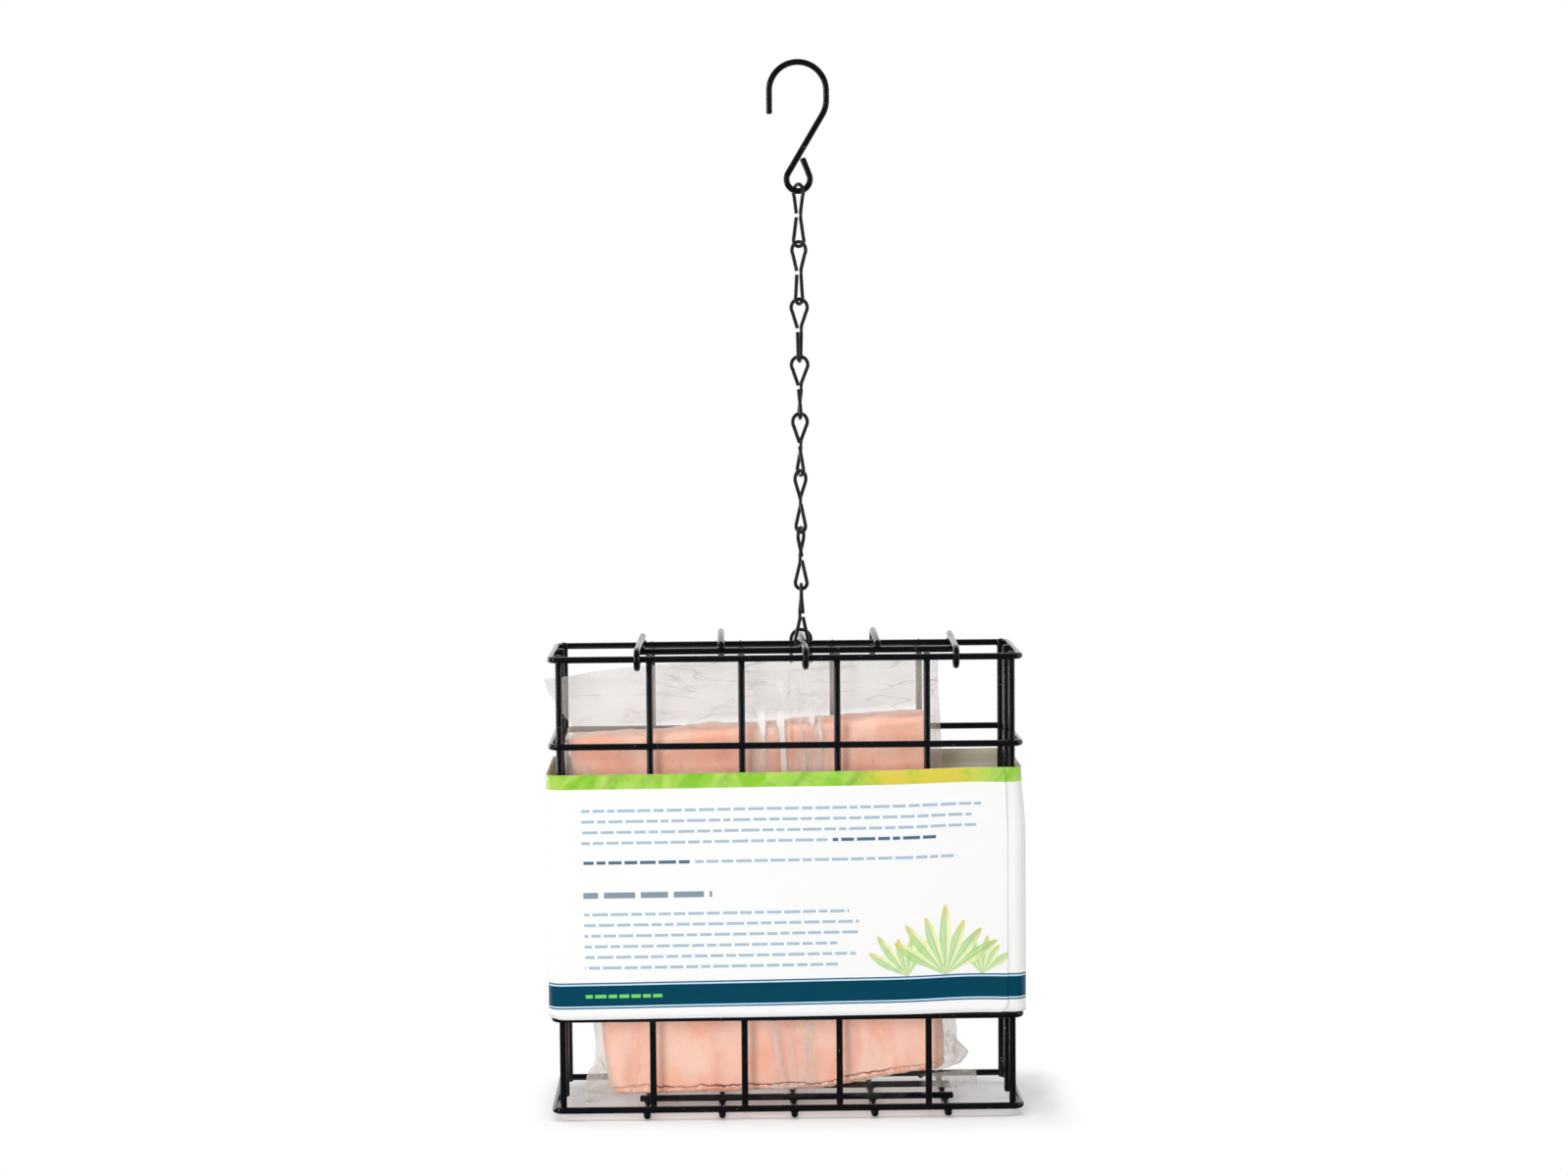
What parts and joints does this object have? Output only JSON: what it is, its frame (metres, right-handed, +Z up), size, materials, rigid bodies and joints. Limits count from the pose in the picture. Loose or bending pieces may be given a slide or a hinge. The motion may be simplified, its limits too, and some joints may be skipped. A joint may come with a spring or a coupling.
{
  "type": "suet cake feeder",
  "caption": "Welded wire basket with a clip-over wire lid, hung from a chain and an S hook, holding a film-wrapped suet cake and a card label sleeve",
  "frame": {"origin": "the inside of the top of the hook's crook, where the feeder hangs", "axes": "+Z up, +X to the right along the basket's length, the front with the label's glued flap faces -Y"},
  "size_m": [0.152, 0.0571, 0.3364],
  "materials": {
    "hook_wire": "round steel wire with a smooth gloss black coat",
    "chain_wire": "thin steel wire, blackened, with a dull sheen",
    "coated_wire": "welded steel wire under a thick gloss black plastic coat",
    "suet": "moulded pink fat and flour block, slightly mottled, dull",
    "film": "clear thin packing film, creased, glossy",
    "card": "thin white card with a smooth printed face"
  },
  "bodies": {
    "hook": {"hook": "hook_wire"},
    "link_1": {"link_1": "chain_wire"},
    "link_2": {"link_2": "chain_wire"},
    "link_3": {"link_3": "chain_wire"},
    "link_4": {"link_4": "chain_wire"},
    "link_5": {"link_5": "chain_wire"},
    "link_6": {"link_6": "chain_wire"},
    "link_7": {"link_7": "chain_wire"},
    "link_8": {"link_8": "chain_wire"},
    "lid": {"lid_hinge_wire_left": "coated_wire", "lid_hinge_wire_middle": "coated_wire", "lid_hinge_wire_right": "coated_wire", "lid_clip_wire_left": "coated_wire", "lid_clip_wire_right": "coated_wire", "lid_long_wire_front": "coated_wire", "lid_long_wire_rear": "coated_wire", "lid_staple": "chain_wire"},
    "basket": {"hoop_1": "coated_wire", "hoop_2": "coated_wire", "hoop_3": "coated_wire", "hoop_4": "coated_wire", "hoop_5": "coated_wire", "hoop_6": "coated_wire", "post_front_left": "coated_wire", "post_front_right": "coated_wire", "post_rear_left": "coated_wire", "post_rear_right": "coated_wire", "upright_front_1": "coated_wire", "upright_front_2": "coated_wire", "upright_front_3": "coated_wire", "upright_front_4": "coated_wire", "upright_rear_1": "coated_wire", "upright_rear_2": "coated_wire", "upright_rear_3": "coated_wire", "upright_rear_4": "coated_wire", "upright_side_left": "coated_wire", "upright_side_right": "coated_wire", "floor_cross_wire_1": "coated_wire", "floor_cross_wire_2": "coated_wire", "floor_cross_wire_3": "coated_wire", "floor_cross_wire_4": "coated_wire", "floor_cross_wire_5": "coated_wire", "floor_long_wire_front": "coated_wire", "floor_long_wire_rear": "coated_wire", "suet_cake": "suet", "film_wrapper": "film", "label_sleeve": "card"}
  },
  "joints": [
    {"name": "link_1_swing", "type": "hinge", "parent": "hook", "child": "link_1", "pos_m": [0, 0, -0.0399], "axis": [1, 0, 0], "range_deg": [-30, 30]},
    {"name": "link_2_swing", "type": "hinge", "parent": "link_1", "child": "link_2", "pos_m": [0, 0, -0.0575], "axis": [0.829, 0.5592, 0], "range_deg": [-30, 30]},
    {"name": "link_3_swing", "type": "hinge", "parent": "link_2", "child": "link_3", "pos_m": [0, 0, -0.0743], "axis": [0.9686, -0.2487, 0], "range_deg": [-30, 30]},
    {"name": "link_4_swing", "type": "hinge", "parent": "link_3", "child": "link_4", "pos_m": [0, 0, -0.0941], "axis": [0.2487, 0.9686, 0], "range_deg": [-30, 30]},
    {"name": "link_5_swing", "type": "hinge", "parent": "link_4", "child": "link_5", "pos_m": [0, 0, -0.1109], "axis": [0.8894, 0.4571, 0], "range_deg": [-30, 30]},
    {"name": "link_6_swing", "type": "hinge", "parent": "link_5", "child": "link_6", "pos_m": [0, 0, -0.1307], "axis": [-0.4571, 0.8894, 0], "range_deg": [-30, 30]},
    {"name": "link_7_swing", "type": "hinge", "parent": "link_6", "child": "link_7", "pos_m": [0, 0, -0.1475], "axis": [0.3616, 0.9323, 0], "range_deg": [-30, 30]},
    {"name": "link_8_swing", "type": "hinge", "parent": "link_7", "child": "link_8", "pos_m": [0, 0, -0.1673], "axis": [-0.9323, 0.3616, 0], "range_deg": [-30, 30]},
    {"name": "lid_swing", "type": "hinge", "parent": "link_8", "child": "lid", "pos_m": [0, 0, -0.18365], "axis": [0, 1, 0], "range_deg": [-30, 30]},
    {"name": "basket_hinge", "type": "hinge", "parent": "lid", "child": "basket", "pos_m": [0, -0.02495, -0.18731], "axis": [-1, 0, 0], "range_deg": [0, 180]}
  ]
}
